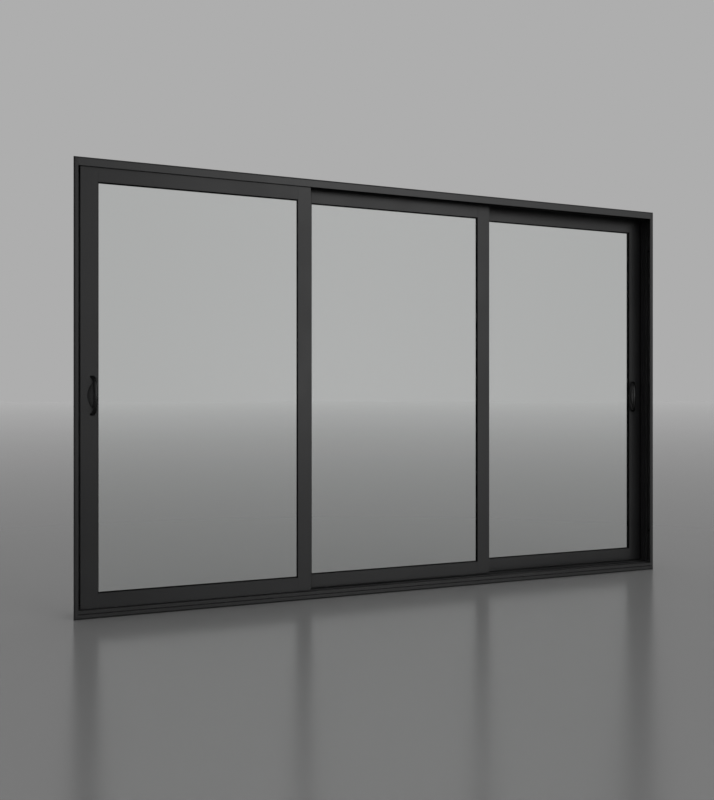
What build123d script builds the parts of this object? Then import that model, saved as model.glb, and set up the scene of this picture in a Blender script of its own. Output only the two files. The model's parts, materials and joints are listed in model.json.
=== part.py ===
# Sliding patio door: a black aluminium frame with three tracks and three glazed panels.
# X runs along the door, Y runs from the front (the side seen in the photograph) to the back,
# Z points up. The origin is the middle of the sill's underside. All sizes are millimetres.
import os
from math import sqrt

from build123d import *

os.makedirs("parts", exist_ok=True)

# Whole door
door_width = 3090.0
door_height = 2032.0
running_gap = 5.0
skin = 2.5
edge_slope_width = 7.0
edge_slope_depth = 3.0

# Tracks and panels
track_pitch = 41.5
panel_thickness = 30.0
left_panel_margin = 28.0
right_panel_margin = 18.5
left_overlap = 54.0
right_overlap = 43.5
panel_lift = 4.0
panel_top_gap = 20.0
lock_stile_width = 73.5
meeting_stile_width = 64.0
top_rail_height = 82.5
bottom_rail_height = 63.0

# Glazing
glazing_grip = 10.0
front_lip_thickness = 3.0
pane_thickness = 4.0
pane_gap = 9.0
spacer_width = 7.0
glass_edge_clearance = 3.0
rear_lip_setback = 12.0

# Frame members
jamb_front_lip_width = 20.0
jamb_rear_lip_width = 30.0
jamb_wall = 3.0
jamb_fin_height = 8.0
jamb_fin_pitch = 26.0
head_lip_height = 38.0
head_top_wall = 3.0
guide_thickness = 3.0
guide_engagement = 10.0
sill_groove_bottom = 20.5
sill_groove_height = 5.0
sill_groove_depth = 9.0
sill_upstand_top = 39.0
sill_upstand_thickness = 12.0
sill_deck_top = 18.0
track_rib_width = 3.5
track_rib_top = 42.0

# Rollers
wheel_outer_radius = 16.0
wheel_groove_radius = 13.0
wheel_width = 9.0
wheel_bore_radius = 3.0
wheel_groove_slope = 1.0
wheel_running_gap = 0.3
roller_end_distance = 150.0
carriage_length = 96.0
carriage_height = 34.0
carriage_slot_length = 38.0
carriage_floor_gap = 1.5
wheel_side_gap = 1.5
axle_clearance = 0.1

# Interlock strips on the meeting stiles
interlock_base_width = 26.0
interlock_base_thickness = 1.5
interlock_fin_thickness = 2.0
interlock_fin_spacing = 9.0

# Pull handles
handle_height = 984.0
handle_length = 177.0
handle_from_panel_edge = 49.0
handle_projection = 38.0
handle_bow = 16.0
grip_foot_width = 20.0
grip_mid_width = 17.0
grip_thickness = 11.0
grip_bevel = 3.0
grip_stations = (0, 0.15, 0.32, 0.5, 0.68, 0.85, 1)
bezier_middle_share = 0.75
escutcheon_width = 40.0
escutcheon_height = 112.0
escutcheon_thickness = 6.0
escutcheon_dome_margin = 4.0

# Anchor holes through the jambs
anchor_hole_radius = 4.5
anchor_edge_distance = 34.0
anchor_end_distance = 216.0

# Sizes that follow from the ones above
half_width = door_width / 2
half_depth = track_pitch + panel_thickness / 2 + running_gap + skin
frame_depth = 2 * half_depth
slope_inside_scale = 1 + skin * sqrt(1 / edge_slope_width**2 + 1 / edge_slope_depth**2)
panels_span = door_width - left_panel_margin - right_panel_margin
panel_width = (panels_span + left_overlap + right_overlap) / 3
panel_bottom = track_rib_top + panel_lift
panel_top = door_height - panel_top_gap
panel_height = panel_top - panel_bottom
daylight_bottom = panel_bottom + bottom_rail_height
daylight_top = panel_top - top_rail_height
daylight_width = panel_width - lock_stile_width - meeting_stile_width
daylight_height = daylight_top - daylight_bottom
middle_stile_width = (panel_width - daylight_width) / 2
unit_thickness = 2 * pane_thickness + pane_gap
front_track = -track_pitch
rear_track = track_pitch
left_panel_left = -half_width + left_panel_margin
middle_panel_left = left_panel_left + panel_width - left_overlap
right_panel_left = half_width - right_panel_margin - panel_width
guide_tip = panel_top - guide_engagement
groove_width = guide_thickness + 2 * running_gap
groove_depth = guide_engagement + running_gap
gap_between_panels = track_pitch - panel_thickness
interlock_reach = gap_between_panels - running_gap
left_overlap_middle = (left_panel_left + panel_width + middle_panel_left) / 2
right_overlap_middle = (right_panel_left + middle_panel_left + panel_width) / 2
anchor_spacing_y = frame_depth - 2 * anchor_edge_distance
anchor_spacing_z = door_height - 2 * anchor_end_distance
wheel_axle_height = track_rib_top + wheel_running_gap + wheel_groove_radius


def save(part, name):
    """Label one sub-part and write it as its own STEP file."""
    part.label = name
    export_step(part, f"parts/{name}.step")


# Frame

def channel_section(wall, front_lip, rear_lip):
    """Draw a channel into the open sketch: X is the depth, Y runs inward from the outer face.

    Where the outer face meets the front and the back, the corner slopes off.
    """
    inside = half_depth - skin
    slope_top = edge_slope_width * (slope_inside_scale - skin / edge_slope_depth)
    slope_foot = half_depth - edge_slope_depth * (slope_inside_scale - wall / edge_slope_width)
    Polygon((-half_depth, front_lip), (-half_depth, edge_slope_width),
            (-half_depth + edge_slope_depth, 0), (half_depth - edge_slope_depth, 0),
            (half_depth, edge_slope_width), (half_depth, rear_lip), (inside, rear_lip),
            (inside, slope_top), (slope_foot, wall), (-slope_foot, wall), (-inside, slope_top),
            (-inside, front_lip), align=None)


def sloped_corner(face, end, scale, mode):
    """Draw the triangle between a corner and its slope, or a larger one; X is depth, Y height."""
    face_inward = -edge_slope_depth if face > 0 else edge_slope_depth
    end_inward = -edge_slope_width if end > 0 else edge_slope_width
    Polygon((face, end), (face + scale * face_inward, end), (face, end + scale * end_inward),
            align=None, mode=mode)


def jamb_plane(side):
    """Plane of a jamb's section at half height; side is -1 for the left one, 1 for the right."""
    return Plane(origin=(side * half_width, 0, door_height / 2), x_dir=(0, 1, 0), z_dir=(0, 0, side))


def jamb(side):
    """Upright channel at one end of the frame, with three fins and four anchor holes."""
    outer = side * half_width
    inner_wall = outer - side * jamb_wall
    with BuildPart() as post:
        with BuildSketch(jamb_plane(side)):
            channel_section(jamb_wall, jamb_front_lip_width, jamb_rear_lip_width)
        extrude(amount=door_height / 2, both=True)
        with BuildSketch(Plane.XY.offset(track_rib_top + running_gap)):
            with Locations((inner_wall - side * jamb_fin_height / 2, 0)):
                with GridLocations(1, jamb_fin_pitch, 1, 3):
                    Rectangle(jamb_fin_height, skin)
        fin_length = door_height - head_lip_height - track_rib_top - 2 * running_gap
        extrude(amount=fin_length)
        outer_face = Plane(origin=(outer, 0, door_height / 2), x_dir=(0, 1, 0), z_dir=(side, 0, 0))
        with BuildSketch(outer_face):
            for end in (-door_height / 2, door_height / 2):
                for face in (-half_depth, half_depth):
                    sloped_corner(face, end, 1, Mode.ADD)
        extrude(amount=-jamb_rear_lip_width, mode=Mode.SUBTRACT)
        with Locations(outer_face):
            with GridLocations(anchor_spacing_y, anchor_spacing_z, 2, 2):
                Hole(radius=anchor_hole_radius, depth=jamb_wall)
    return post.part


def cope_round_jambs():
    """Cut the ends of the head or the sill to fit round the two jambs."""
    for side in (-1, 1):
        with BuildSketch(jamb_plane(side)) as section:
            channel_section(jamb_wall, jamb_front_lip_width, jamb_rear_lip_width)
            with Locations((0, edge_slope_width / 2)):
                with GridLocations(frame_depth - edge_slope_depth, 1, 2, 1):
                    Rectangle(edge_slope_depth, edge_slope_width)
        extrude(section.sketch, amount=door_height / 2, both=True, mode=Mode.SUBTRACT)


def head():
    """Top member: an inverted channel with one guide fin hanging above each track."""
    length = door_width - 2 * jamb_wall
    end = Plane(origin=(length / 2, 0, door_height), x_dir=(0, 1, 0), z_dir=(-1, 0, 0))
    with BuildPart() as member:
        with BuildSketch(end):
            channel_section(head_top_wall, head_lip_height, head_lip_height)
            fin_height = door_height - guide_tip
            with Locations((0, fin_height / 2)):
                with GridLocations(track_pitch, 1, 3, 1):
                    Rectangle(guide_thickness, fin_height)
        extrude(amount=length)
        cope_round_jambs()
    return member.part


def sill():
    """Bottom member: a hollow base with a grooved upstand at each edge and three track ribs."""
    length = door_width - 2 * jamb_wall
    upstand_centre = half_depth - sill_upstand_thickness / 2
    groove_centre = half_depth - sill_groove_depth / 2
    groove_middle = sill_groove_bottom + sill_groove_height / 2
    chamber_height = sill_deck_top - 2 * skin
    with BuildPart() as member:
        with BuildSketch(Plane.YZ.offset(-length / 2)):
            with Locations((0, sill_deck_top / 2)):
                Rectangle(frame_depth, sill_deck_top)
            with Locations((0, sill_upstand_top / 2)):
                with GridLocations(2 * upstand_centre, 1, 2, 1):
                    Rectangle(sill_upstand_thickness, sill_upstand_top)
            with Locations((0, groove_middle)):
                with GridLocations(2 * groove_centre, 1, 2, 1):
                    Rectangle(sill_groove_depth, sill_groove_height, mode=Mode.SUBTRACT)
            with Locations((0, track_rib_top / 2)):
                with GridLocations(track_pitch, 1, 3, 1):
                    Rectangle(track_rib_width, track_rib_top)
            with Locations((0, sill_deck_top / 2)):
                with GridLocations(track_pitch, 1, 3, 1):
                    Rectangle(track_pitch - skin, chamber_height, mode=Mode.SUBTRACT)
            for face in (-half_depth, half_depth):
                sloped_corner(face, 0, slope_inside_scale, Mode.ADD)
                sloped_corner(face, 0, 1, Mode.SUBTRACT)
        extrude(amount=length)
        cope_round_jambs()
    return member.part


# Panels

def stile(track, left_edge, width, glass_side, strip=None):
    """Hollow upright of a panel; glass_side is 1 when the glass is on its right.

    strip is the interlock's middle and the side (-1 front, 1 back) it is let into, if any.
    """
    front = track - panel_thickness / 2
    middle = left_edge + width / 2
    glass_edge = middle + glass_side * width / 2
    tube_width = width - rear_lip_setback
    tube_middle = middle - glass_side * rear_lip_setback / 2
    with BuildPart() as post:
        with BuildSketch(Plane.XY.offset(panel_bottom)):
            with Locations((tube_middle, track)):
                Rectangle(tube_width, panel_thickness)
                Rectangle(tube_width - 2 * skin, panel_thickness - 2 * skin, mode=Mode.SUBTRACT)
            with Locations((glass_edge - glass_side * rear_lip_setback / 2,
                            front + front_lip_thickness / 2)):
                Rectangle(rear_lip_setback, front_lip_thickness)
        extrude(amount=panel_height)
        with Locations((middle, track, panel_top - groove_depth / 2)):
            Box(width, groove_width, groove_depth, mode=Mode.SUBTRACT)
        if strip:
            strip_x, face_side = strip
            strip_y = track + face_side * (panel_thickness - interlock_base_thickness) / 2
            with Locations((strip_x, strip_y, (panel_bottom + panel_top) / 2)):
                Box(interlock_base_width, interlock_base_thickness, panel_height, mode=Mode.SUBTRACT)
    return post.part


def rail(track, left_edge, length, low, high, glass_above):
    """Cross member between two stiles, with the glazing lip on the side where the glass is."""
    front = track - panel_thickness / 2
    glass_side = 1 if glass_above else -1
    height = high - low
    tube_height = height - rear_lip_setback
    tube_middle = (low + high) / 2 - glass_side * rear_lip_setback / 2
    glass_edge = high if glass_above else low
    with BuildPart() as bar:
        with BuildSketch(Plane.YZ.offset(left_edge - rear_lip_setback)):
            with Locations((track, tube_middle)):
                Rectangle(panel_thickness, tube_height)
                Rectangle(panel_thickness - 2 * skin, tube_height - 2 * skin, mode=Mode.SUBTRACT)
            with Locations((front + front_lip_thickness / 2,
                            glass_edge - glass_side * rear_lip_setback / 2)):
                Rectangle(front_lip_thickness, rear_lip_setback)
            if glass_above:
                with Locations((track, low + skin / 2)):
                    Rectangle(panel_thickness - 2 * skin, skin, mode=Mode.SUBTRACT)
            else:
                with Locations((track, high - groove_depth / 2)):
                    Rectangle(groove_width, groove_depth, mode=Mode.SUBTRACT)
        extrude(amount=length + 2 * rear_lip_setback)
        with Locations((left_edge + length / 2, front + front_lip_thickness / 2, (low + high) / 2)):
            with GridLocations(length + rear_lip_setback, 1, 2, 1):
                Box(rear_lip_setback, front_lip_thickness, height, mode=Mode.SUBTRACT)
    return bar.part


def glass_panes(track, daylight_left):
    """Two clear panes of the sealed unit, one behind the other."""
    first_face = track - panel_thickness / 2 + front_lip_thickness
    pane_centres = (first_face + pane_thickness / 2,
                    first_face + unit_thickness - pane_thickness / 2)
    overlap = glazing_grip - glass_edge_clearance
    with BuildPart() as panes:
        for depth in pane_centres:
            with Locations((daylight_left + daylight_width / 2, depth,
                            (daylight_bottom + daylight_top) / 2)):
                Box(daylight_width + 2 * overlap, pane_thickness, daylight_height + 2 * overlap)
    return panes.part


def spacer_frame(track, daylight_left):
    """Black spacer that holds the two panes apart round their edge."""
    first_face = track - panel_thickness / 2 + front_lip_thickness
    overlap = glazing_grip - glass_edge_clearance
    with BuildPart() as ring:
        with Locations((daylight_left + daylight_width / 2, first_face + unit_thickness / 2,
                        (daylight_bottom + daylight_top) / 2)):
            Box(daylight_width + 2 * overlap, pane_gap, daylight_height + 2 * overlap)
            Box(daylight_width + 2 * overlap - 2 * spacer_width, pane_gap,
                daylight_height + 2 * overlap - 2 * spacer_width, mode=Mode.SUBTRACT)
    return ring.part


def glazing_beads(track, daylight_left):
    """Bevelled bead behind the glass, all round the daylight opening."""
    bead_front = track - panel_thickness / 2 + front_lip_thickness + unit_thickness
    bead_depth = track + panel_thickness / 2 - bead_front
    centre = (daylight_left + daylight_width / 2, (daylight_bottom + daylight_top) / 2)
    outer = rear_lip_setback
    with BuildPart() as bead:
        face = Plane(origin=(centre[0], bead_front, centre[1]), x_dir=(1, 0, 0), z_dir=(0, 1, 0))
        with BuildSketch(face):
            Rectangle(daylight_width + 2 * outer, daylight_height + 2 * outer)
        extrude(amount=bead_depth)
        with BuildSketch(face):
            Rectangle(daylight_width, daylight_height)
        with BuildSketch(face.offset(bead_depth)):
            Rectangle(daylight_width + 2 * outer - 2 * skin, daylight_height + 2 * outer - 2 * skin)
        loft(mode=Mode.SUBTRACT)
    return bead.part


def axle_points(track, panel_left):
    """Middles of the two roller axles of one panel."""
    return ((panel_left + roller_end_distance, track, wheel_axle_height),
            (panel_left + panel_width - roller_end_distance, track, wheel_axle_height))


def roller_wheels(track, panel_left):
    """Two grooved wheels that ride on the track rib under one panel."""
    half_wheel = wheel_width / 2
    half_groove = track_rib_width / 2 + wheel_running_gap
    half_mouth = half_groove + wheel_groove_slope
    with BuildPart() as wheels:
        for point in axle_points(track, panel_left):
            wheel_plane = Plane(origin=point, x_dir=(0, 1, 0), z_dir=(1, 0, 0))
            with BuildSketch(wheel_plane):
                with BuildLine():
                    Polyline((-half_wheel, wheel_bore_radius), (-half_wheel, wheel_outer_radius),
                             (-half_mouth, wheel_outer_radius), (-half_groove, wheel_groove_radius),
                             (half_groove, wheel_groove_radius), (half_mouth, wheel_outer_radius),
                             (half_wheel, wheel_outer_radius), (half_wheel, wheel_bore_radius),
                             close=True)
                make_face()
            revolve(axis=Axis(point, (0, 1, 0)))
    return wheels.part


def roller_carriages(track, panel_left):
    """Two roller housings inside the bottom rail, each with a slot and an axle for its wheel."""
    inside = panel_thickness - 2 * skin
    middle_z = panel_bottom + carriage_floor_gap + carriage_height / 2
    with BuildPart() as carriages:
        for axle in axle_points(track, panel_left):
            with Locations((axle[0], track, middle_z)):
                Box(carriage_length, inside, carriage_height)
                Box(carriage_slot_length, wheel_width + 2 * wheel_side_gap, carriage_height,
                    mode=Mode.SUBTRACT)
            with Locations(Plane(origin=axle, z_dir=(0, 1, 0))):
                Cylinder(wheel_bore_radius - axle_clearance, inside)
    return carriages.part


def interlock(track, centre_x, face_side, fin_shift):
    """Full-height strip on a meeting stile with one fin reaching towards the next panel."""
    face = track + face_side * panel_thickness / 2
    with BuildPart() as strip:
        with BuildSketch(Plane.XY.offset(panel_bottom)):
            with Locations((centre_x, face - face_side * interlock_base_thickness / 2)):
                Rectangle(interlock_base_width, interlock_base_thickness)
            with Locations((centre_x + fin_shift, face + face_side * interlock_reach / 2)):
                Rectangle(interlock_fin_thickness, interlock_reach)
        extrude(amount=panel_height - groove_depth)
    return strip.part


# Pull handles

def handle_grip(track, foot_x, bow_side):
    """Bowed pull bar that stands off the lock stile and leans towards the glass."""
    face = track - panel_thickness / 2
    low = handle_height - (handle_length - grip_thickness) / 2
    high = handle_height + (handle_length - grip_thickness) / 2
    # The middle of the curve lies at this share of its inner control points' reach
    pull_x = foot_x + bow_side * handle_bow / bezier_middle_share
    pull_y = face - (handle_projection - grip_thickness / 2) / bezier_middle_share
    with BuildPart() as grip:
        with BuildLine():
            bow = Bezier((foot_x, face, low), (pull_x, pull_y, low), (pull_x, pull_y, high),
                         (foot_x, face, high))
        for fraction in grip_stations:
            to_middle = 1 - (1 - 2 * fraction) ** 2
            width = grip_foot_width + (grip_mid_width - grip_foot_width) * to_middle
            is_foot = fraction in (0, 1)
            along = (0, -1 if fraction == 0 else 1, 0) if is_foot else bow % fraction
            with BuildSketch(Plane(origin=bow @ fraction, x_dir=(1, 0, 0), z_dir=along)) as section:
                Rectangle(width, grip_thickness)
                chamfer(section.vertices(), grip_bevel)
        loft()
    return grip.part


def escutcheon(track, centre_x):
    """Domed leaf-shaped plate on the lock stile behind the grip."""
    face = track - panel_thickness / 2
    half_leaf_width = escutcheon_width / 2
    half_leaf_height = escutcheon_height / 2
    half_dome_width = half_leaf_width + escutcheon_dome_margin
    dome_length = escutcheon_height + 2 * escutcheon_dome_margin
    with BuildPart() as plate:
        with BuildSketch(Plane(origin=(centre_x, face, handle_height), x_dir=(1, 0, 0), z_dir=(0, -1, 0))):
            with BuildLine():
                ThreePointArc((0, -half_leaf_height), (half_leaf_width, 0), (0, half_leaf_height))
                ThreePointArc((0, half_leaf_height), (-half_leaf_width, 0), (0, -half_leaf_height))
            make_face()
        extrude(amount=escutcheon_thickness + escutcheon_dome_margin)
        with BuildSketch(Plane(origin=(centre_x, face, handle_height - dome_length / 2))):
            with BuildLine():
                Line((-half_dome_width, 0), (half_dome_width, 0))
                ThreePointArc((half_dome_width, 0), (0, -escutcheon_thickness), (-half_dome_width, 0))
            make_face()
        extrude(amount=dome_length, mode=Mode.INTERSECT)
    return plate.part


# Frame members
save(jamb(-1), "left_jamb")
save(jamb(1), "right_jamb")
save(head(), "head")
save(sill(), "sill")

# Panels: name, track, left edge, widths of the two stiles, interlock beside each stile
left_strip = left_overlap_middle
right_strip = right_overlap_middle
panels = (
    ("left_panel", front_track, left_panel_left, lock_stile_width, meeting_stile_width,
     None, (left_strip, 1)),
    ("middle_panel", 0.0, middle_panel_left, middle_stile_width, middle_stile_width,
     (left_strip, -1), (right_strip, 1)),
    ("right_panel", rear_track, right_panel_left, meeting_stile_width, lock_stile_width,
     (right_strip, -1), None),
)
for name, track, left, left_width, right_width, left_lock, right_lock in panels:
    glass_left = left + left_width
    right_start = left + panel_width - right_width
    save(stile(track, left, left_width, 1, left_lock), f"{name}_left_stile")
    save(stile(track, right_start, right_width, -1, right_lock), f"{name}_right_stile")
    save(rail(track, glass_left, daylight_width, daylight_top, panel_top, False), f"{name}_top_rail")
    save(rail(track, glass_left, daylight_width, panel_bottom, daylight_bottom, True),
         f"{name}_bottom_rail")
    save(glass_panes(track, glass_left), f"{name}_glass")
    save(spacer_frame(track, glass_left), f"{name}_spacer")
    save(glazing_beads(track, glass_left), f"{name}_glazing_bead")
    save(roller_wheels(track, left), f"{name}_roller_wheels")
    save(roller_carriages(track, left), f"{name}_roller_carriages")

# Interlock strips: at each overlap the panel on the outside hooks behind the middle one
half_spacing = interlock_fin_spacing / 2
save(interlock(front_track, left_strip, 1, half_spacing), "left_panel_interlock")
save(interlock(0.0, left_strip, -1, -half_spacing), "middle_panel_front_interlock")
save(interlock(0.0, right_strip, 1, half_spacing), "middle_panel_rear_interlock")
save(interlock(rear_track, right_strip, -1, -half_spacing), "right_panel_interlock")

# Pull handles on the two lock stiles
left_foot = left_panel_left + handle_from_panel_edge
right_foot = right_panel_left + panel_width - handle_from_panel_edge
save(handle_grip(front_track, left_foot, 1), "left_panel_handle_grip")
save(handle_grip(rear_track, right_foot, -1), "right_panel_handle_grip")
save(escutcheon(front_track, left_foot), "left_panel_escutcheon")
save(escutcheon(rear_track, right_foot), "right_panel_escutcheon")
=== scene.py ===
"""Sliding patio door with three glazed panels: finishes, small parts, studio and camera.

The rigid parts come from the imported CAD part. This script gives them their finishes and
adds what is too fine for them: the cast pull handles with their leaf-shaped plates, the
glazing gaskets, the screws that hold stiles and rails together and the plugs in the jambs'
anchor holes. Sizes are metres in the frame of the part: X along the door, Y from the front
to the back, Z up from the floor.
"""

from __future__ import annotations

import json
import logging
import math
from dataclasses import dataclass
from enum import Enum

import bmesh
import bpy
import numpy as np
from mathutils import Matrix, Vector

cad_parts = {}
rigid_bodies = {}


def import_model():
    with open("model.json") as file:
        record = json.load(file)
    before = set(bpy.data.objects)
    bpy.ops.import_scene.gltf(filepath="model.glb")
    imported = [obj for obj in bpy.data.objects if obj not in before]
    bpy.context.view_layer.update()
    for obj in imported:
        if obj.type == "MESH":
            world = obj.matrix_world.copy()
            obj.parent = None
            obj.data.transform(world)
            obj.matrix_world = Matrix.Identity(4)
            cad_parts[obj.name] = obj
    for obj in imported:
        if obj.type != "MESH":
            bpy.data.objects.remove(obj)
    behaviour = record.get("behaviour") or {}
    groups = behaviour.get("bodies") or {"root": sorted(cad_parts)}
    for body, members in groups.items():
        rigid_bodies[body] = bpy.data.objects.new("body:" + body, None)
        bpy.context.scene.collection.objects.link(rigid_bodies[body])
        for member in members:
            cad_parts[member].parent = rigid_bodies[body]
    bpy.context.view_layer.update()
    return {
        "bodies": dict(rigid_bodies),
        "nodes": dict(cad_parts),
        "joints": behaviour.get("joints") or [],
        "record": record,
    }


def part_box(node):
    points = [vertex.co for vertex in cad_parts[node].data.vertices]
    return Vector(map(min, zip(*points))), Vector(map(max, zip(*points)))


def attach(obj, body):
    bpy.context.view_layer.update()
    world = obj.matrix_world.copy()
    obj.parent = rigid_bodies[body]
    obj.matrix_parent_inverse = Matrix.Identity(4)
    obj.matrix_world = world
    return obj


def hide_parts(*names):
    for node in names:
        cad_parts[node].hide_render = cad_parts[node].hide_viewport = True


LOG = logging.getLogger("sliding_door")
MM = 0.001
SMOOTH_ANGLE = math.radians(40)  # faces that meet at less than this are shaded as one

Colour = tuple[float, float, float]
Material = bpy.types.Material
Object = bpy.types.Object
Node = bpy.types.Node
Socket = bpy.types.NodeSocket


class PanelName(Enum):
    """The three sliding panels, by the name of their CAD body."""

    LEFT = "left_panel"
    MIDDLE = "middle_panel"
    RIGHT = "right_panel"


class Side(Enum):
    """Which way a thing points along X."""

    LEFT = -1
    RIGHT = 1


# Node graphs and finishes


def grey(tone: float) -> tuple[float, float, float, float]:
    """Make an opaque grey.

    Args:
        tone: Its red, green and blue.

    Returns:
        The colour with its alpha.
    """
    return tone, tone, tone, 1.0


class NodeGraph:
    """Short way of building a node tree."""

    def __init__(self, tree: bpy.types.NodeTree) -> None:
        """Take over a node tree and empty it.

        Args:
            tree: The tree.
        """
        self.tree = tree
        self.tree.nodes.clear()

    def node(self, kind: str, **values: object) -> Node:
        """Add one node.

        Args:
            kind: Blender's type name of the node.
            **values: Properties of the node, or its inputs where the name fits no property.

        Returns:
            The new node.
        """
        made = self.tree.nodes.new(kind)
        for key, value in values.items():
            if hasattr(made, key):
                setattr(made, key, value)
            else:
                made.inputs[key.replace("_", " ")].default_value = value
        return made

    def feed(self, value: Socket | float, target: Socket) -> None:
        """Give an input its value.

        Args:
            value: The output socket to join to it, or the number to set it to.
            target: The input socket.
        """
        if isinstance(value, Socket):
            self.tree.links.new(value, target)
        else:
            target.default_value = value

    def math(self, operation: str, *values: Socket | float) -> Socket:
        """Combine values.

        Args:
            operation: Blender's name of the operation.
            *values: The operation's inputs in their order.

        Returns:
            The result's socket.
        """
        made = self.node("ShaderNodeMath", operation=operation)
        for place, value in enumerate(values):
            self.feed(value, made.inputs[place])
        return made.outputs[0]

    def ramp(self, source: Socket, start: float, end: float, low: float, high: float) -> Socket:
        """Map a value smoothly from one range to another, and hold it at the range's ends.

        Args:
            source: The value.
            start: Where the result is low.
            end: Where the result is high.
            low: The result at the start.
            high: The result at the end.

        Returns:
            The result's socket.
        """
        made = self.node("ShaderNodeMapRange", interpolation_type="SMOOTHSTEP")
        self.feed(source, made.inputs["Value"])
        for name, value in (("From Min", start), ("From Max", end), ("To Min", low), ("To Max", high)):
            made.inputs[name].default_value = value
        return made.outputs["Result"]

    def noise(self, place: Socket, grain: float, detail: float, roughness: float) -> Socket:
        """Add a noise pattern.

        Args:
            place: Where the pattern is read.
            grain: Size of one grain, in metres.
            detail: How many finer layers it has.
            roughness: How strong those are.

        Returns:
            The pattern's socket, which runs around 0.5.
        """
        made = self.node("ShaderNodeTexNoise", Scale=1.0 / grain, Detail=detail, Roughness=roughness)
        self.feed(place, made.inputs["Vector"])
        return made.outputs["Fac"]

    def mixed(self, share: Socket, first: Socket, second: Socket) -> Socket:
        """Mix two shaders.

        Args:
            share: Share of the second one.
            first: The first shader.
            second: The second shader.

        Returns:
            The mixture's socket.
        """
        made = self.node("ShaderNodeMixShader")
        for place, value in enumerate((share, first, second)):
            self.feed(value, made.inputs[place])
        return made.outputs["Shader"]


class MaterialGraph(NodeGraph):
    """The node tree of a new material."""

    def __init__(self, name: str) -> None:
        """Start an empty material.

        Args:
            name: The material's name.
        """
        self.material = bpy.data.materials.new(name)
        self.material.use_nodes = True
        super().__init__(self.material.node_tree)
        self.place = self.node("ShaderNodeTexCoord").outputs["Object"]

    def finish(self, surface: Socket) -> Material:
        """Join the surface to the material's output.

        Args:
            surface: The shader that the material shows.

        Returns:
            The finished material.
        """
        self.feed(surface, self.node("ShaderNodeOutputMaterial").inputs["Surface"])
        return self.material


@dataclass(frozen=True)
class GrainedFinish:
    """An opaque finish with a fine grain in its colour, roughness and surface height.

    Attributes:
        name: Name of the material.
        dark: The darker of the two colours that the grain runs between.
        light: The lighter of the two colours.
        smooth: Lowest roughness.
        rough: Highest roughness.
        grain: Size of one grain, in metres.
        relief: Height of the grain, in metres.
        metallic: How metallic the surface is.
        specular: The shader's specular level.
        stretch: Grain's stretch along X, Y and Z, for brushed or moulded surfaces.
        cloud: Size of the wide, faint clouds, in metres.
        grain_layers: Detail and roughness of the grain's noise.
        cloud_layers: Detail and roughness of the cloud's noise.
        tone_ends: Values of the pattern where the colour is fully dark and fully light.
        gloss_ends: Values of the cloud where the roughness is lowest and highest.
        bump_strength: Share of the relief that the shading shows.
    """

    name: str
    dark: Colour
    light: Colour
    smooth: float
    rough: float
    grain: float
    relief: float
    metallic: float = 0.0
    specular: float = 0.5
    stretch: tuple[float, float, float] = (1.0, 1.0, 1.0)
    cloud: float = 0.4
    grain_layers: tuple[float, float] = (3.0, 0.55)
    cloud_layers: tuple[float, float] = (4.0, 0.6)
    tone_ends: tuple[float, float] = (0.35, 0.65)
    gloss_ends: tuple[float, float] = (0.3, 0.7)
    bump_strength: float = 0.6

    def material(self) -> Material:
        """Build the material.

        The colour runs between dark and light by the mean of a fine grain and a wide cloud,
        the roughness by the cloud alone and the height by the grain alone.

        Returns:
            A material that reads Object coordinates only.
        """
        graph = MaterialGraph(self.name)
        mapping = graph.node("ShaderNodeMapping")
        mapping.inputs["Scale"].default_value = tuple(1.0 / s for s in self.stretch)
        graph.feed(graph.place, mapping.inputs["Vector"])
        grain = graph.noise(mapping.outputs["Vector"], self.grain, *self.grain_layers)
        cloud = graph.noise(graph.place, self.cloud, *self.cloud_layers)
        tone = graph.node("ShaderNodeValToRGB")
        ends = zip(tone.color_ramp.elements, self.tone_ends, (self.dark, self.light))
        for element, position, colour in ends:
            element.position = position
            element.color = (*colour, 1.0)
        mean = graph.math("MULTIPLY", graph.math("ADD", grain, cloud), 0.5)
        graph.feed(mean, tone.inputs["Fac"])
        bump = graph.node("ShaderNodeBump", Strength=self.bump_strength, Distance=self.relief)
        graph.feed(grain, bump.inputs["Height"])
        shader = graph.node("ShaderNodeBsdfPrincipled", Metallic=self.metallic)
        shader.inputs["Specular IOR Level"].default_value = self.specular
        graph.feed(tone.outputs["Color"], shader.inputs["Base Color"])
        gloss = graph.ramp(cloud, *self.gloss_ends, self.smooth, self.rough)
        graph.feed(gloss, shader.inputs["Roughness"])
        graph.feed(bump.outputs["Normal"], shader.inputs["Normal"])
        return graph.finish(shader.outputs["BSDF"])


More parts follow.
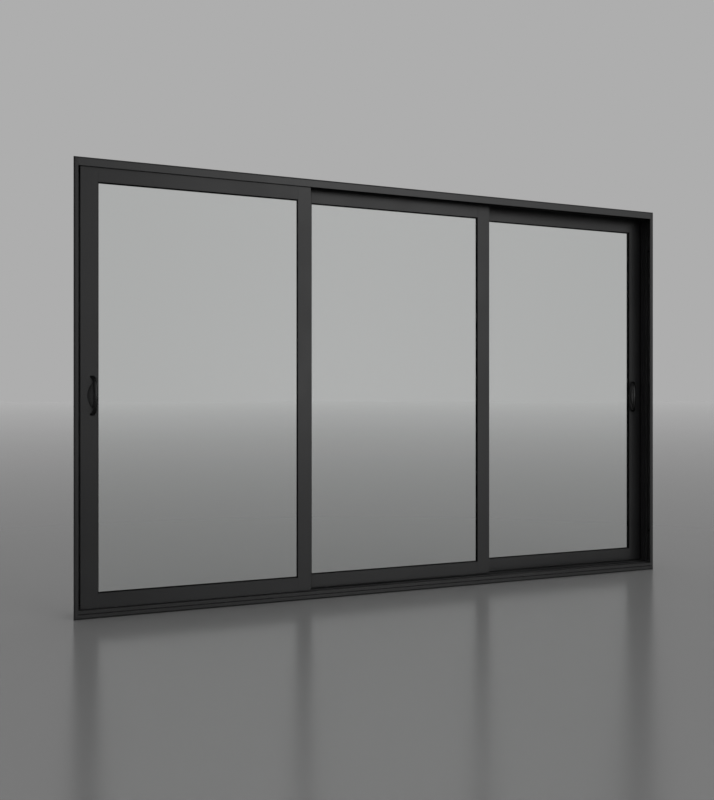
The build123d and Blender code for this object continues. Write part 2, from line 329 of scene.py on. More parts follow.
@dataclass(frozen=True)
class ClearGlass:
    """Clear float glass: it lets nearly all light through and mirrors more at low angles.

    Attributes:
        name: Name of the material.
        tint: Colour of light that has passed one pane's surface.
        ior: Refractive index, which sets how strongly the surface mirrors.
        roughness: Lowest and highest roughness of the mirrored part.
        mirror_share: Share of Fresnel's mirror light that is kept, for a coated glass.
        mirror_tone: Tone of that light, low enough that a lit studio leaves the glass clear.
        film: Size of the faint patches in that roughness, in metres.
        film_layers: Detail and roughness of the patches' noise.
    """

    name: str = "clear_float_glass"
    tint: Colour = (0.994, 0.998, 0.996)
    ior: float = 1.45
    roughness: tuple[float, float] = (0.02, 0.04)
    mirror_share: float = 0.14
    mirror_tone: float = 0.42
    film: float = 0.35
    film_layers: tuple[float, float] = (2.0, 0.5)

    def material(self) -> Material:
        """Build the material as clear transparency mixed with a mirror by Fresnel's law.

        Returns:
            The material.
        """
        graph = MaterialGraph(self.name)
        clear = graph.node("ShaderNodeBsdfTransparent", Color=(*self.tint, 1.0))
        mirror = graph.node("ShaderNodeBsdfPrincipled", Metallic=1.0)
        mirror.inputs["Base Color"].default_value = grey(self.mirror_tone)
        film = graph.noise(graph.place, self.film, *self.film_layers)
        graph.feed(graph.ramp(film, 0.0, 1.0, *self.roughness), mirror.inputs["Roughness"])
        fresnel = graph.node("ShaderNodeFresnel", IOR=self.ior)
        share = graph.math("MULTIPLY", fresnel.outputs["Fac"], self.mirror_share)
        return graph.finish(graph.mixed(share, clear.outputs["BSDF"], mirror.outputs["BSDF"]))


# Painted light: the head has the frame's own satin black coat, drawn lighter because light falls on it
# from above.
HEAD_COAT_PAINTED_LIGHT = GrainedFinish(
    name="satin_black_head_coat_painted_light", dark=(0.021, 0.0212, 0.0217), light=(0.027, 0.0272, 0.0278),
    smooth=0.3, rough=0.38, grain=0.9 * MM, relief=0.05 * MM,
)
FRAME_COAT = GrainedFinish(
    name="satin_black_frame_coat", dark=(0.012, 0.0121, 0.0125), light=(0.018, 0.0182, 0.0186),
    smooth=0.32, rough=0.42, grain=0.9 * MM, relief=0.05 * MM,
)
PANEL_COAT = GrainedFinish(
    name="satin_black_panel_coat", dark=(0.0105, 0.0106, 0.011), light=(0.0155, 0.0157, 0.0162),
    smooth=0.3, rough=0.4, grain=0.9 * MM, relief=0.05 * MM,
)
BEAD_COAT = GrainedFinish(
    name="matt_black_glazing_bead", dark=(0.0025, 0.0025, 0.0026), light=(0.004, 0.004, 0.0042),
    smooth=0.55, rough=0.7, grain=0.8 * MM, relief=0.04 * MM, specular=0.1,
)
CAST_LACQUER = GrainedFinish(
    name="black_lacquered_zinc", dark=(0.002, 0.002, 0.0021), light=(0.0035, 0.0035, 0.0037),
    smooth=0.2, rough=0.28, grain=1.6 * MM, relief=0.03 * MM, specular=0.38,
)
PLATE_LACQUER = GrainedFinish(
    name="dull_black_lacquered_plate", dark=(0.0095, 0.0095, 0.0098), light=(0.0135, 0.0135, 0.0139),
    smooth=0.3, rough=0.42, grain=1.2 * MM, relief=0.04 * MM, specular=0.36,
)
GASKET_RUBBER = GrainedFinish(
    name="black_gasket_rubber", dark=(0.003, 0.003, 0.003), light=(0.006, 0.006, 0.006),
    smooth=0.6, rough=0.75, grain=0.6 * MM, relief=0.04 * MM, specular=0.06,
)
SPACER_FOAM = GrainedFinish(
    name="black_warm_edge_spacer", dark=(0.002, 0.002, 0.002), light=(0.004, 0.004, 0.004),
    smooth=0.75, rough=0.9, grain=1.2 * MM, relief=0.08 * MM, specular=0.03,
)
INTERLOCK_PVC = GrainedFinish(
    name="black_interlock_strip", dark=(0.02, 0.02, 0.021), light=(0.028, 0.028, 0.029),
    smooth=0.42, rough=0.52, grain=1.0 * MM, relief=0.03 * MM, stretch=(1.0, 1.0, 30.0),
)
ROLLER_NYLON = GrainedFinish(
    name="dark_roller_nylon", dark=(0.06, 0.06, 0.064), light=(0.085, 0.085, 0.09),
    smooth=0.35, rough=0.5, grain=0.8 * MM, relief=0.03 * MM,
)
CARRIAGE_MOULDING = GrainedFinish(
    name="moulded_roller_housing", dark=(0.035, 0.035, 0.037), light=(0.05, 0.05, 0.052),
    smooth=0.5, rough=0.62, grain=0.7 * MM, relief=0.05 * MM,
)
SCREW_STEEL = GrainedFinish(
    name="blackened_screw_steel", dark=(0.05, 0.05, 0.052), light=(0.09, 0.09, 0.093),
    smooth=0.3, rough=0.42, grain=0.5 * MM, relief=0.02 * MM, metallic=1.0,
)


SLOT_FINISHES = {
    "frame_black": FRAME_COAT,
    "panel_black": PANEL_COAT,
    "handle_black": CAST_LACQUER,
    "clear_glass": ClearGlass(),
    "spacer_black": SPACER_FOAM,
    "interlock_black": INTERLOCK_PVC,
    "wheel_nylon": ROLLER_NYLON,
    "carriage_plastic": CARRIAGE_MOULDING,
}


class Palette:
    """Builds each material once and hands it out by finish."""

    def __init__(self) -> None:
        """Start with no material built."""
        self._made: dict[str, Material] = {}

    def get(self, finish: GrainedFinish | ClearGlass) -> Material:
        """Give the material of a finish.

        Args:
            finish: The finish that is wanted.

        Returns:
            Its material, built the first time it is asked for.
        """
        if finish.name not in self._made:
            self._made[finish.name] = finish.material()
        return self._made[finish.name]


# Computed surfaces


@dataclass
class Surface:
    """A mesh as arrays of corner points and faces.

    Attributes:
        points: Corner points, one row of X, Y and Z each.
        faces: Faces as lists of point numbers.
    """

    points: np.ndarray
    faces: list[list[int]]

    def joined(self, *others: Surface) -> Surface:
        """Put other surfaces into the same mesh.

        Args:
            *others: The surfaces to add.

        Returns:
            A surface that holds them all.
        """
        points, faces = [self.points], list(self.faces)
        shift = len(self.points)
        for other in others:
            points.append(other.points)
            faces += [[corner + shift for corner in face] for face in other.faces]
            shift += len(other.points)
        return Surface(np.vstack(points), faces)

    def as_object(self, name: str, material: Material, smooth: bool) -> Object:
        """Turn the surface into an object at the origin, with its faces turned outward.

        Args:
            name: Name of the object.
            material: Material of every face.
            smooth: Whether the shading is smooth where faces meet at low angles.

        Returns:
            The object.
        """
        mesh = bpy.data.meshes.new(name)
        mesh.from_pydata(self.points.tolist(), [], self.faces)
        shell = bmesh.new()
        shell.from_mesh(mesh)
        bmesh.ops.recalc_face_normals(shell, faces=shell.faces)
        shell.to_mesh(mesh)
        shell.free()
        mesh.materials.append(material)
        if smooth:
            mesh.polygons.foreach_set("use_smooth", np.ones(len(mesh.polygons), bool))
            mesh.set_sharp_from_angle(angle=SMOOTH_ANGLE)
        made = bpy.data.objects.new(name, mesh)
        bpy.context.scene.collection.objects.link(made)
        return made


def tube(rings: np.ndarray, closed_along: bool = False) -> Surface:
    """Skin a row of rings of points.

    Point k of ring i is joined to point k of ring i + 1, and the last point of a ring to its
    first. Open ends are closed by one face each.

    Args:
        rings: Array of ring count by points per ring by 3.
        closed_along: Whether the last ring is joined to the first.

    Returns:
        A closed surface.
    """
    count, around, _ = rings.shape
    number = np.arange(count * around).reshape(count, around)
    start = number if closed_along else number[:-1]
    following = np.roll(number, -1, axis=0) if closed_along else number[1:]
    quads = np.stack(
        (start, np.roll(start, -1, axis=1), np.roll(following, -1, axis=1), following), axis=-1
    )
    faces = quads.reshape(-1, 4).tolist()
    if not closed_along:
        faces += [number[0][::-1].tolist(), number[-1].tolist()]
    return Surface(rings.reshape(-1, 3), faces)


def rectangular_ring(low: Vector, high: Vector, profile: np.ndarray) -> Surface:
    """Run a profile round a rectangle that stands in the XZ plane, with mitred corners.

    A profile point (inward, depth) becomes, at the corner (x, z), the point
    (x + sx * inward, y + depth, z + sz * inward), where sx and sz point into the rectangle.

    Args:
        low: Lowest corner of the rectangle; its Y is where depth is 0.
        high: Highest corner of the rectangle.
        profile: Closed outline as rows of (inward, depth).

    Returns:
        The closed ring.
    """
    corners = np.array(
        [(low.x, low.z, 1, 1), (high.x, low.z, -1, 1), (high.x, high.z, -1, -1), (low.x, high.z, 1, -1)]
    )
    inward = profile[None, :, 0]
    x = corners[:, 0:1] + corners[:, 2:3] * inward
    z = corners[:, 1:2] + corners[:, 3:4] * inward
    y = np.broadcast_to(low.y + profile[None, :, 1], x.shape)
    return tube(np.stack((x, y, z), axis=-1), closed_along=True)


def rounded_strip(low: tuple[float, float], high: tuple[float, float], steps: int = 10) -> np.ndarray:
    """Outline of a strip that is flat behind and half an ellipse in front.

    Args:
        low: Its (inward, depth) corner at the back edge nearest the opening's frame.
        high: The opposite corner.
        steps: Points on the ellipse.

    Returns:
        Rows of (inward, depth).
    """
    angle = np.linspace(0.0, math.pi, steps)
    middle = (low[0] + high[0]) / 2
    half = (high[0] - low[0]) / 2
    return np.column_stack((middle + half * np.cos(angle), low[1] + (high[1] - low[1]) * np.sin(angle)))


def button(foot: Vector, outward: Side, radius: np.ndarray, rise: np.ndarray) -> Surface:
    """Skin rings round an axis along X, such as the head of a screw.

    Args:
        foot: The axis' point where the rise is 0.
        outward: Which way the button points.
        radius: Radius of each ring, as a column.
        rise: Height of the rings' points over the foot, by ring and by place round the axis.

    Returns:
        The closed surface.
    """
    angle = round_turn(rise.shape[1])
    y, z = foot.y + radius * np.cos(angle), foot.z + radius * np.sin(angle)
    return tube(np.stack((foot.x + outward.value * rise, y, z), axis=-1))


def round_turn(count: int) -> np.ndarray:
    """Space angles evenly over a full turn.

    Args:
        count: How many.

    Returns:
        The angles, from 0 on.
    """
    return np.linspace(0.0, 2 * math.pi, count, endpoint=False)


def unit_rows(rows: np.ndarray) -> np.ndarray:
    """Scale each row to length 1.

    Args:
        rows: Rows of X, Y and Z.

    Returns:
        The same directions.
    """
    return rows / np.linalg.norm(rows, axis=1, keepdims=True)


def superellipse(angle: np.ndarray, power: float) -> tuple[np.ndarray, np.ndarray]:
    """Compute points of a superellipse with half axes of 1.

    A point is the cosine and the sine of its angle, each raised to 2 / power with its sign
    kept, so that |x| to the power plus |y| to the power is 1.

    Args:
        angle: Angles of the points.
        power: 2 for an ellipse, more for a squarer shape.

    Returns:
        The points' two coordinates.
    """
    return tuple(np.sign(part) * np.abs(part) ** (2 / power) for part in (np.cos(angle), np.sin(angle)))


# Sub-assemblies


@dataclass(frozen=True)
class ExtrusionFinish:
    """Finishes and fine edge rounding of the CAD nodes.

    Attributes:
        edge: Width of the rounded edges of the extrusions.
        segments: Faces across a rounded edge.
        sharp_angle: Angle between two faces from which their edge is rounded.
        merge: Distance under which the imported mesh's split corners are one point.
        rounded_slots: The slots of the extruded pieces.
    """

    edge: float = 0.5 * MM
    segments: int = 2
    sharp_angle: float = math.radians(35)
    merge: float = 0.01 * MM
    rounded_slots: tuple[str, ...] = ("frame_black", "panel_black", "interlock_black")

    def finish_for(self, name: str, slot: str) -> GrainedFinish | ClearGlass:
        """Choose the finish of a node: the head has a lighter copy of the frame coat with painted light
        from above, the beads have their own, others go by slot.

        Args:
            name: The node's name.
            slot: The record's name of its material slot.

        Returns:
            The finish.
        """
        # The head's finish is the frame coat with painted light from above.
        if name == "head":
            return HEAD_COAT_PAINTED_LIGHT
        if name.endswith("glazing_bead"):
            return BEAD_COAT
        return SLOT_FINISHES[slot]

    def dress(self, frame: dict, palette: Palette) -> int:
        """Give every CAD node its material and the metal ones their rounded edges.

        Args:
            palette: The materials.

        Returns:
            How many nodes were dressed.
        """
        slots = {row["node"]: row["material_slot"] for row in frame["record"]["subparts"]}
        for name, node in frame["nodes"].items():
            slot = slots[name]
            node.data.materials.clear()
            node.data.materials.append(palette.get(self.finish_for(name, slot)))
            if slot in self.rounded_slots:
                self.round_edges(node)
        return len(frame["nodes"])

    def round_edges(self, node: Object) -> None:
        """Round a node's edges a little, as a coated extrusion's are.

        Args:
            node: The CAD node.
        """
        weld = node.modifiers.new("weld", "WELD")
        weld.merge_threshold = self.merge
        bevel = node.modifiers.new("edges", "BEVEL")
        bevel.width = self.edge
        bevel.segments = self.segments
        bevel.limit_method = "ANGLE"
        bevel.angle_limit = self.sharp_angle
        bevel.harden_normals = True


@dataclass(frozen=True)
class PullHandle:
    """Cast pull handle: a bowed grip on two flared feet over a domed leaf-shaped plate.

    Attributes:
        panel: The panel that carries it.
        lean: Which way the bow leans, towards the glass.
        core_foot_half: Half the width of the plain CAD grip's feet.
        core_middle_half: Half the width of the plain CAD grip's middle.
        half_thickness: Half the grip's thickness across its bow.
        inner_pull: Share of their reach at which a cubic curve passes its inner points.
        foot_half: Half the width of the cast grip above its flared feet.
        middle_half: Half the width of the cast grip's middle.
        slimming: How much thinner than the plain grip it is on each side.
        section_power: Power of its superelliptic section; 2 is an ellipse.
        flare: How much wider the feet get where they meet the stile.
        flare_length: Height over which the flare dies out.
        turn_share: Share of the grip's length over which its section turns at a foot.
        rim: Thickness of the plate's edge.
        dome_power: Power of the plate's dome; lower ones are fuller.
        tip_power: Power by which the dome sinks at the plate's tips.
        tip_share: Share of the half height at which the plate's tips are cut.
        grip_grid: Sections along the grip and points round each.
        plate_grid: Rows from tip to tip and points across each.
    """

    panel: PanelName
    lean: Side
    core_foot_half: float = 10.0 * MM
    core_middle_half: float = 8.5 * MM
    half_thickness: float = 5.5 * MM
    inner_pull: float = 0.75
    foot_half: float = 9.0 * MM
    middle_half: float = 8.5 * MM
    slimming: float = 0.4 * MM
    section_power: float = 2.6
    flare: float = 1.0 * MM
    flare_length: float = 5.0 * MM
    turn_share: float = 0.1
    rim: float = 1.6 * MM
    dome_power: float = 0.8
    tip_power: float = 5.0
    tip_share: float = 0.998
    grip_grid: tuple[int, int] = (97, 48)
    plate_grid: tuple[int, int] = (81, 33)

    def build(self, palette: Palette) -> list[Object]:
        """Build the grip and its plate in place of the plain CAD ones.

        Args:
            palette: The materials.

        Returns:
            The new objects.
        """
        name = self.panel.value
        grip = self.grip().as_object(f"{name}_cast_grip", palette.get(CAST_LACQUER), True)
        plate = self.plate().as_object(f"{name}_leaf_plate", palette.get(PLATE_LACQUER), True)
        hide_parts(f"{name}_handle_grip")
        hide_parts(f"{name}_escutcheon")
        for piece in (grip, plate):
            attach(piece, name)
        return [grip, plate]

    def middle_line(self, low: Vector, high: Vector, t: np.ndarray) -> np.ndarray:
        """Compute the line through the middle of the grip.

        It is a cubic curve. Its outer control points are the middles of the feet and its inner
        ones lie in front of them, leaning to the glass.

        Args:
            low: Lowest corner of the plain grip's box.
            high: Highest corner of that box; its Y is the stile's face.
            t: Places along the curve from 0 at the lower foot to 1 at the upper one, as a column.

        Returns:
            Rows of X, Y and Z.
        """
        lean, inset = self.lean.value, self.half_thickness
        foot_side, bow_side = (low.x, high.x) if self.lean is Side.RIGHT else (high.x, low.x)
        foot_x = foot_side + lean * self.core_foot_half
        bow_x = bow_side - lean * self.core_middle_half
        feet = np.array([(foot_x, high.y, low.z + inset), (foot_x, high.y, high.z - inset)])
        inner = feet + np.array([bow_x - foot_x, low.y + inset - high.y, 0.0]) / self.inner_pull
        return (
            (1 - t) ** 3 * feet[0] + 3 * t * (1 - t) ** 2 * inner[0]
            + 3 * t**2 * (1 - t) * inner[1] + t**3 * feet[1]
        )

    def section_axes(self, middle: np.ndarray, t: np.ndarray) -> tuple[np.ndarray, np.ndarray]:
        """Compute the directions of each section's two axes.

        The section's plane turns from the stile's face at a foot to square across the middle
        line. Its wide axis is X made square to the plane's normal.

        Args:
            middle: Points of the middle line.
            t: Their places along it, as a column.

        Returns:
            The directions of the wide and of the thin axis.
        """
        along = unit_rows(np.gradient(middle, axis=0))
        turned = np.clip(np.minimum(t, 1 - t) / self.turn_share, 0.0, 1.0)
        off_stile = np.where(t < 0.5, -1.0, 1.0) * np.array([0.0, 1.0, 0.0])
        along = unit_rows(along * turned + off_stile * (1 - turned))
        across = unit_rows(np.array([1.0, 0.0, 0.0]) - along * along[:, :1])
        return across, np.cross(along, across)

    def half_axes(self, off_stile: np.ndarray, t: np.ndarray) -> tuple[np.ndarray, np.ndarray]:
        """Compute the lengths of each section's two half axes.

        They grow towards the stile by a bell curve of the distance from it, and the wide one
        also goes from the foot's to the middle's by 4 t (1 - t).

        Args:
            off_stile: Distance of the sections' middles from the stile's face, as a column.
            t: Their places along the middle line, as a column.

        Returns:
            The wide and the thin half axis.
        """
        flare = self.flare * np.exp(-((off_stile / self.flare_length) ** 2))
        to_middle = 4 * t * (1 - t)
        wide = self.foot_half + (self.middle_half - self.foot_half) * to_middle + flare
        return wide, self.half_thickness - self.slimming + flare / 2

    def grip(self) -> Surface:
        """Compute the grip, whose sections are superellipses about its middle line.

        Returns:
            The grip's surface.
        """
        low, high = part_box(f"{self.panel.value}_handle_grip")
        stations, around = self.grip_grid
        t = np.linspace(0.0, 1.0, stations)[:, None]
        middle = self.middle_line(low, high, t)
        across, upward = self.section_axes(middle, t)
        half_width, half_height = self.half_axes(middle[:, 1:2] - high.y, t)
        wide, tall = superellipse(round_turn(around), self.section_power)
        rings = (
            middle[:, None, :]
            + (half_width * wide)[:, :, None] * across[:, None, :]
            + (half_height * tall)[:, :, None] * upward[:, None, :]
        )
        rings[..., 1] = np.minimum(rings[..., 1], high.y)
        return tube(rings)

    def plate(self) -> Surface:
        """Compute the plate.

        Its outline is where two equal circle arcs cross. With r from -1 to 1 across it and s
        from -1 to 1 along it, its height over the stile is the rim plus a dome of
        (1 - r^2) to the dome's power times (1 - |s| to the tips' power).

        Returns:
            The plate's surface.
        """
        low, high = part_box(f"{self.panel.value}_escutcheon")
        middle, half = (low + high) / 2, (high - low) / 2
        thickness = high.y - low.y
        radius = (half.z**2 + half.x**2) / (2 * half.x)
        s, r = (np.sin(np.linspace(-math.pi / 2, math.pi / 2, count)) for count in self.plate_grid)
        s, r = s[:, None] * self.tip_share, r[None, :]
        edge = np.sqrt(radius**2 - (s * half.z) ** 2) - (radius - half.x)
        dome = (1 - r**2) ** self.dome_power * (1 - np.abs(s) ** self.tip_power)
        x = middle.x + edge * r
        y = high.y - self.rim - (thickness - self.rim) * dome
        z = np.broadcast_to(middle.z + half.z * s, x.shape)
        front = np.stack((x, y, z), axis=-1)
        back = front[:, ::-1].copy()
        back[..., 1] = high.y
        return tube(np.concatenate((front, back), axis=1))


@dataclass(frozen=True)
class GlazingGaskets:
    """Black gaskets that hold one panel's glass in front and behind.

    Attributes:
        panel: The panel.
        depth: How far the gaskets stand off the glass.
        front_width: How far the front gasket covers the glass.
        rear_width: How far the rear gasket covers the glass.
        tuck: How far both run in behind the stiles' lips and the beads.
        glass_grip: How far the glass runs behind those lips.
    """

    panel: PanelName
    depth: float = 1.6 * MM
    front_width: float = 1.8 * MM
    rear_width: float = 2.0 * MM
    tuck: float = 0.4 * MM
    glass_grip: float = 7.0 * MM

    def build(self, palette: Palette) -> Object:
        """Build both gaskets as one object.

        Args:
            palette: The materials.

        Returns:
            The object.
        """
        low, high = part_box(f"{self.panel.value}_glass")
        inset = Vector((self.glass_grip, 0.0, self.glass_grip))
        rear = high.y - low.y
        front, back = (
            rectangular_ring(low + inset, high - inset, rounded_strip(outer, inner))
            for outer, inner in (
                ((-self.tuck, 0.0), (self.front_width, -self.depth)),
                ((-self.tuck, rear), (self.rear_width, rear + self.depth)),
            )
        )
        name = f"{self.panel.value}_gaskets"
        piece = front.joined(back).as_object(name, palette.get(GASKET_RUBBER), True)
        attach(piece, self.panel.value)
        return piece


@dataclass(frozen=True)
class AssemblyScrews:
    """Pan-head screws that go through one panel's stiles into the ends of its rails.

    Attributes:
        panel: The panel.
        radius: Radius of a head.
        height: Height of a head over the stile's edge.
        slot_half: Half the width of the cross recess's arms.
        slot_reach: How far the arms reach from the middle.
        slot_depth: Depth of the recess.
        dome_power: Power of a head's dome; higher ones are flatter.
        innermost: Radius of a head's last ring as a share of the head's.
        from_bottom: Distances of the screws from the panel's bottom.
        from_top: Distances of the screws from its top.
        grid: Rings and points round each.
    """

    panel: PanelName
    radius: float = 4.5 * MM
    height: float = 2.2 * MM
    slot_half: float = 0.7 * MM
    slot_reach: float = 2.6 * MM
    slot_depth: float = 1.4 * MM
    dome_power: float = 4.0
    innermost: float = 0.02
    from_bottom: tuple[float, ...] = (12 * MM, 40 * MM)
    from_top: tuple[float, ...] = (28 * MM, 60 * MM)
    grid: tuple[int, int] = (24, 64)

    def build(self, palette: Palette) -> Object:
        """Build all screw heads of the panel as one object.

        Args:
            palette: The materials.

        Returns:
            The object.
        """
        name = self.panel.value
        low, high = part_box(f"{name}_left_stile")
        far_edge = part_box(f"{name}_right_stile")[1].x
        levels = [low.z + step for step in self.from_bottom] + [high.z - step for step in self.from_top]
        first, *others = (
            self.head(Vector((edge, (low.y + high.y) / 2, level)), outward)
            for edge, outward in ((low.x, Side.LEFT), (far_edge, Side.RIGHT))
            for level in levels
        )
        joined = first.joined(*others)
        piece = joined.as_object(f"{name}_assembly_screws", palette.get(SCREW_STEEL), True)
        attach(piece, name)
        return piece

    def head(self, foot: Vector, outward: Side) -> Surface:
        """Compute one screw head.

        At the distance r from its axis it is as high as the height times the root of
        1 - (r / radius)^p, where p is the dome's power and the root the one of that power.
        Inside the reach of the cross's two arms it is lower by the depth of the recess.

        Args:
            foot: Middle of its seat on the stile's edge.
            outward: Which way it points along X.

        Returns:
            The head's surface.
        """
        rings, around = self.grid
        share = np.linspace(1.0, self.innermost, rings)[:, None]
        radius, angle = self.radius * share, round_turn(around)
        off_arms = np.minimum(np.abs(radius * np.cos(angle)), np.abs(radius * np.sin(angle)))
        cross = (off_arms < self.slot_half) & (radius < self.slot_reach)
        dome = self.height * (1 - share**self.dome_power) ** (1 / self.dome_power)
        return button(foot, outward, radius, dome - self.slot_depth * cross)


@dataclass(frozen=True)
class AnchorPlugs:
    """Black plugs that close the jambs' anchor holes from the inside.

    Attributes:
        jamb_wall: Thickness of the jambs' outer walls, which the holes go through.
        edge_distance: Distance of the holes from the frame's front and back.
        end_distance: Distance of the holes from the jambs' ends.
        radius: Radius of a plug's rim, a little more than the hole's.
        height: Height of a plug over the wall.
        sunk: How far the rim reaches into the wall, so that no gap shows.
        dome_power: Power of its dome; higher ones are flatter.
        innermost: Radius of a plug's last ring as a share of the plug's.
        grid: Rings and points round each.
    """

    jamb_wall: float = 3.0 * MM
    edge_distance: float = 34.0 * MM
    end_distance: float = 216.0 * MM
    radius: float = 5.2 * MM
    height: float = 1.4 * MM
    sunk: float = 1.0 * MM
    dome_power: float = 4.0
    innermost: float = 0.02
    grid: tuple[int, int] = (12, 48)

    def build(self, palette: Palette) -> Object:
        """Build the plugs of both jambs as one object.

        Args:
            palette: The materials.

        Returns:
            The object.
        """
        low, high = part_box("left_jamb")
        far_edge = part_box("right_jamb")[1].x
        first, *others = (
            self.plug(Vector((x, y, z)), inward)
            for x, inward in ((low.x + self.jamb_wall, Side.RIGHT), (far_edge - self.jamb_wall, Side.LEFT))
            for y in (low.y + self.edge_distance, high.y - self.edge_distance)
            for z in (low.z + self.end_distance, high.z - self.end_distance)
        )
        name = "frame_anchor_plugs"
        piece = first.joined(*others).as_object(name, palette.get(GASKET_RUBBER), True)
        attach(piece, "frame")
        return piece

    def plug(self, foot: Vector, inward: Side) -> Surface:
        """Compute one plug.

        At the distance r from its axis it is as high as the height times
        1 - (r / radius) to the dome's power. Its rim runs straight on into the wall.

        Args:
            foot: Middle of its rim on the wall's inner face.
            inward: Which way it points.

        Returns:
            The plug's surface.
        """
        rings, around = self.grid
        share = np.linspace(1.0, self.innermost, rings)[:, None]
        dome = self.height * (1 - share**self.dome_power)
        rise = np.vstack(([[-self.sunk]], dome)).repeat(around, axis=1)
        return button(foot, inward, self.radius * np.vstack(([[1.0]], share)), rise)


# Studio and camera


@dataclass(frozen=True)
class Fade:
    """A smooth change of the lit screen's tone along one axis of the mirrored ray.

    Attributes:
        axis: The axis.
        start: The ray's part along that axis where the change starts.
        end: The part where it ends.
        low: What the tone is multiplied by at the start.
        high: What it is multiplied by at the end.
    """

    axis: str
    start: float
    end: float
    low: float = 0.0
    high: float = 1.0


@dataclass(frozen=True)
class Studio:
    """Plain floor, plain backdrop and soft light.

    Attributes:
        backdrop: Tone of the backdrop, as seen, as mirrored and as seen through the glass.
        ambient: Strength of the even light on rough surfaces.
        surround: Tone of what mirrors see above and beside the door.
        behind: The ray's parts along Y between which mirrors go over to the backdrop.
        front_glow: Tone of the lit screen in front of the door, which only mirrors see.
        side_glow: Extra tone of that screen to the right of straight ahead.
        side_reach: The ray's parts along X between which that comes in.
        screen_fades: The screen's fading at its right-hand end, its change from the floor up
            to the eye's height and from there upward, and its front, left, right, lower and
            upper edges.
        floor_tone: Colour of the floor.
        floor_roughness: How blurred the floor's reflections are.
        floor_gloss: Share of mirror light when the floor is seen from straight above.
        floor_fade: Power by which that share grows to all of it at the horizon.
        floor_mottle: Size of the faint patches in the floor's gloss.
        mottle_swing: How much the roughness differs between them, as a share of it.
        mottle_layers: Detail and roughness of the patches' noise.
        sweep_tone: Colour of the matt sweep that the floor turns into off to the sides.
        sweep_reach: Distances from the door at which it starts and ends to do so.
        sweep_turn: Cosines of the angles from straight behind the door between which it does.
        floor_half: Half the floor's size.
        key_place: Where the soft key light is.
        key_target: What it points at.
        key_size: Edge of its square.
        key_power: Its power in watts.
    """

    backdrop: float = 0.423
    ambient: float = 0.85
    surround: float = 0.05
    behind: tuple[float, float] = (0.3, 0.6)
    front_glow: float = 0.47
    side_glow: float = 1.5
    side_reach: tuple[float, float] = (0.0, 0.28)
    screen_fades: tuple[Fade, ...] = (
        Fade("X", 0.3, 0.62, 1.0, 0.33),
        Fade("Z", -0.4, -0.1, 0.6, 1.4),
        Fade("Z", 0.0, 0.22, 1.0, 0.65),
        Fade("Y", -0.3, -0.65),
        Fade("X", -0.6, -0.25),
        Fade("X", 0.95, 0.8),
        Fade("Z", -0.75, -0.45),
        Fade("Z", 0.75, 0.45),
    )
    floor_tone: float = 0.142
    floor_roughness: float = 0.2
    floor_gloss: float = 0.19
    floor_fade: float = 12.0
    floor_mottle: float = 1.25
    mottle_swing: float = 0.05
    mottle_layers: tuple[float, float] = (2.0, 0.5)
    sweep_tone: float = 0.49
    sweep_reach: tuple[float, float] = (3.0, 22.0)
    sweep_turn: tuple[float, float] = (0.55, 0.3)
    floor_half: float = 400.0
    key_place: tuple[float, float, float] = (2.5, -5.0, 5.5)
    key_target: tuple[float, float, float] = (0.3, 0.0, 0.9)
    key_size: float = 3.5
    key_power: float = 90.0

    def build(self) -> None:
        """Build the floor, the world and the light."""
        self.floor()
        self.world()
        self.softbox()

    def floor(self) -> None:
        """Build a large square floor at the sill's underside.

        In front of the door and beside it, where it would mirror the lit screen and the dark
        room, the glossy floor turns into a matt sweep of the backdrop's tone farther out.
        """
        half = self.floor_half
        points = np.array([(-half, -half, 0.0), (half, -half, 0.0), (half, half, 0.0), (-half, half, 0.0)])
        graph = MaterialGraph("studio_floor")
        sweep = graph.node("ShaderNodeBsdfDiffuse", Color=grey(self.sweep_tone))
        surface = graph.mixed(self.sweep_share(graph), self.glossy_floor(graph), sweep.outputs["BSDF"])
        floor = Surface(points, [[0, 1, 2, 3]]).as_object("floor", graph.finish(surface), False)

    def glossy_floor(self, graph: MaterialGraph) -> Socket:
        """Mix the floor's matt colour with a mirror that is stronger at low angles.

        Args:
            graph: The floor's material.

        Returns:
            The shader's socket.
        """
        matt = graph.node("ShaderNodeBsdfDiffuse", Color=grey(self.floor_tone))
        gloss = graph.node("ShaderNodeBsdfGlossy", Color=grey(1.0))
        mottle = graph.noise(graph.place, self.floor_mottle, *self.mottle_layers)
        ends = (self.floor_roughness * (1.0 + swing) for swing in (-self.mottle_swing, self.mottle_swing))
        graph.feed(graph.ramp(mottle, 0.0, 1.0, *ends), gloss.inputs["Roughness"])
        facing = graph.node("ShaderNodeLayerWeight", Blend=0.5).outputs["Facing"]
        share = graph.math("POWER", facing, self.floor_fade)
        share = graph.math("MULTIPLY_ADD", share, 1.0 - self.floor_gloss, self.floor_gloss)
        return graph.mixed(share, matt.outputs["BSDF"], gloss.outputs["BSDF"])

    def sweep_share(self, graph: MaterialGraph) -> Socket:
        """Compute how far the floor has turned into the matt sweep.

        It is the product of a ramp of the distance from the door and of one of the angle from
        straight behind it, whose cosine is Y over that distance.

        Args:
            graph: The floor's material.

        Returns:
            The share's socket.
        """
        split = graph.node("ShaderNodeSeparateXYZ")
        graph.feed(graph.place, split.inputs["Vector"])
        reach = graph.node("ShaderNodeVectorMath", operation="LENGTH")
        graph.feed(graph.place, reach.inputs[0])
        distance = reach.outputs["Value"]
        cosine = graph.math("DIVIDE", split.outputs["Y"], distance)
        aside = graph.ramp(cosine, *self.sweep_turn, 0.0, 1.0)
        return graph.math("MULTIPLY", aside, graph.ramp(distance, *self.sweep_reach, 0.0, 1.0))

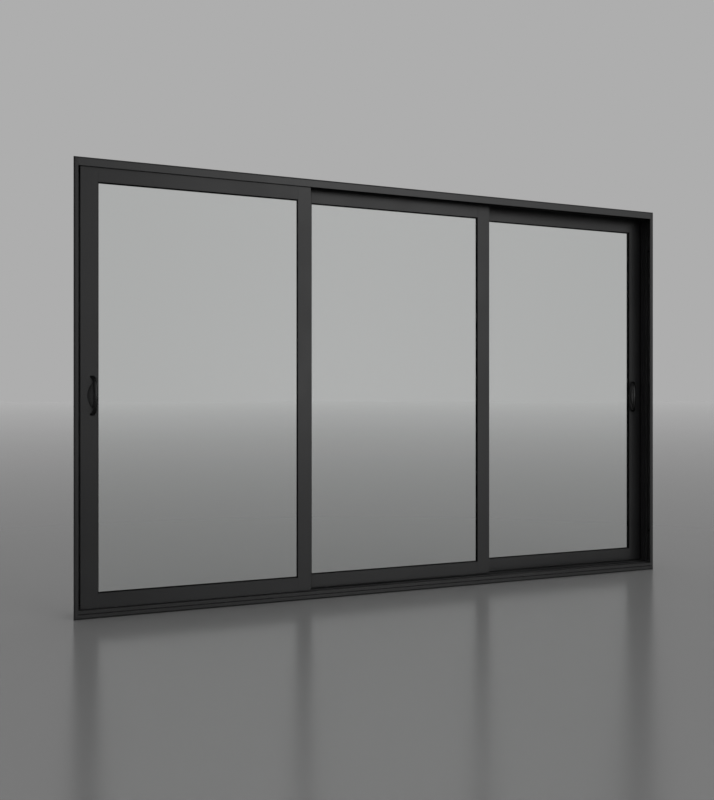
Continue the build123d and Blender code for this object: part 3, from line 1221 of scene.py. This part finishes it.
    def world(self) -> None:
        """Set what eyes, mirrors and rough surfaces see of the room.

        Eyes see the backdrop's tone all round and rough surfaces get an even light.
        """
        world = bpy.data.worlds.new("studio")
        bpy.context.scene.world = world
        world.use_nodes = True
        graph = NodeGraph(world.node_tree)
        shown = graph.node("ShaderNodeBackground", Color=grey(self.backdrop))
        light = graph.node("ShaderNodeBackground", Color=grey(1.0), Strength=self.ambient)
        reflected = graph.node("ShaderNodeBackground", Color=grey(1.0))
        graph.feed(self.mirrored_room(graph), reflected.inputs["Strength"])
        path = graph.node("ShaderNodeLightPath").outputs
        seen = graph.math("MAXIMUM", path["Is Camera Ray"], path["Is Transmission Ray"])
        light, reflected, shown = (made.outputs["Background"] for made in (light, reflected, shown))
        surface = graph.mixed(seen, graph.mixed(path["Is Glossy Ray"], light, reflected), shown)
        graph.feed(surface, graph.node("ShaderNodeOutputWorld").inputs["Surface"])

    def mirrored_room(self, graph: NodeGraph) -> Socket:
        """Compute the tone that mirrors see, by the direction of the mirrored ray.

        It is the backdrop behind the door, a lit screen in front of it and a dark room
        elsewhere. The screen's tone is a product of smooth ramps along the ray's axes.

        Args:
            graph: The world's node tree.

        Returns:
            The tone's socket.
        """
        split = graph.node("ShaderNodeSeparateXYZ")
        graph.feed(graph.node("ShaderNodeTexCoord").outputs["Generated"], split.inputs["Vector"])
        ray = split.outputs
        behind = graph.ramp(ray["Y"], *self.behind, self.surround, self.backdrop)
        screen = graph.ramp(ray["X"], *self.side_reach, self.front_glow, self.front_glow + self.side_glow)
        for fade in self.screen_fades:
            factor = graph.ramp(ray[fade.axis], fade.start, fade.end, fade.low, fade.high)
            screen = graph.math("MULTIPLY", screen, factor)
        return graph.math("MAXIMUM", behind, screen)

    def softbox(self) -> None:
        """Add the soft key light, a square that mirrors don't see."""
        lamp = bpy.data.lights.new("key_softbox", "AREA")
        lamp.size = self.key_size
        lamp.energy = self.key_power
        made = bpy.data.objects.new("key_softbox", lamp)
        made.location = self.key_place
        aim = Vector(self.key_target) - Vector(self.key_place)
        made.rotation_euler = aim.to_track_quat("-Z", "Y").to_euler()
        made.visible_glossy = False
        bpy.context.scene.collection.objects.link(made)


@dataclass(frozen=True)
class PhotographCamera:
    """The camera of the photograph, solved from the frame's four edges.

    Attributes:
        place: Where it stands.
        turn: How far it is turned to the right of straight at the door, in degrees.
        tilt: Its angle from looking straight down, in degrees; 90 is level.
        focal_pixels: Its focal length in pixels of the 714 by 800 photograph.
        image_height: The photograph's longer side in pixels.
        sensor: Blender's sensor size, which fits the longer side, in millimetres.
        far: Distance up to which it sees, which takes in the whole floor.
    """

    place: tuple[float, float, float] = (-1.426, -3.5657, 0.9643)
    turn: float = 18.76
    tilt: float = 90.0
    focal_pixels: float = 750.0
    image_height: float = 800.0
    sensor: float = 36.0
    far: float = 1000.0

    def build(self) -> None:
        """Create the camera and make it the scene's camera."""
        data = bpy.data.cameras.new("photograph_camera")
        data.sensor_width = self.sensor
        data.lens = self.focal_pixels * self.sensor / self.image_height
        data.clip_end = self.far
        camera = bpy.data.objects.new("photograph_camera", data)
        camera.location = self.place
        camera.rotation_euler = (math.radians(self.tilt), 0.0, math.radians(-self.turn))
        bpy.context.scene.collection.objects.link(camera)
        bpy.context.scene.camera = camera


def main() -> None:
    logging.basicConfig(level=logging.INFO, format="%(name)s: %(message)s")
    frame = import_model()
    palette = Palette()
    LOG.info("dressed %d CAD nodes", ExtrusionFinish().dress(frame, palette))
    for handle in (PullHandle(PanelName.LEFT, Side.RIGHT), PullHandle(PanelName.RIGHT, Side.LEFT)):
        for piece in handle.build(palette):
            LOG.info("built %s", piece.name)
    for panel in PanelName:
        for kind in (GlazingGaskets, AssemblyScrews):
            LOG.info("built %s", kind(panel).build(palette).name)
    LOG.info("built %s", AnchorPlugs().build(palette).name)
    Studio().build()
    PhotographCamera().build()
    bpy.context.scene.view_settings.view_transform = "Standard"


if __name__ == "__main__":
    main()
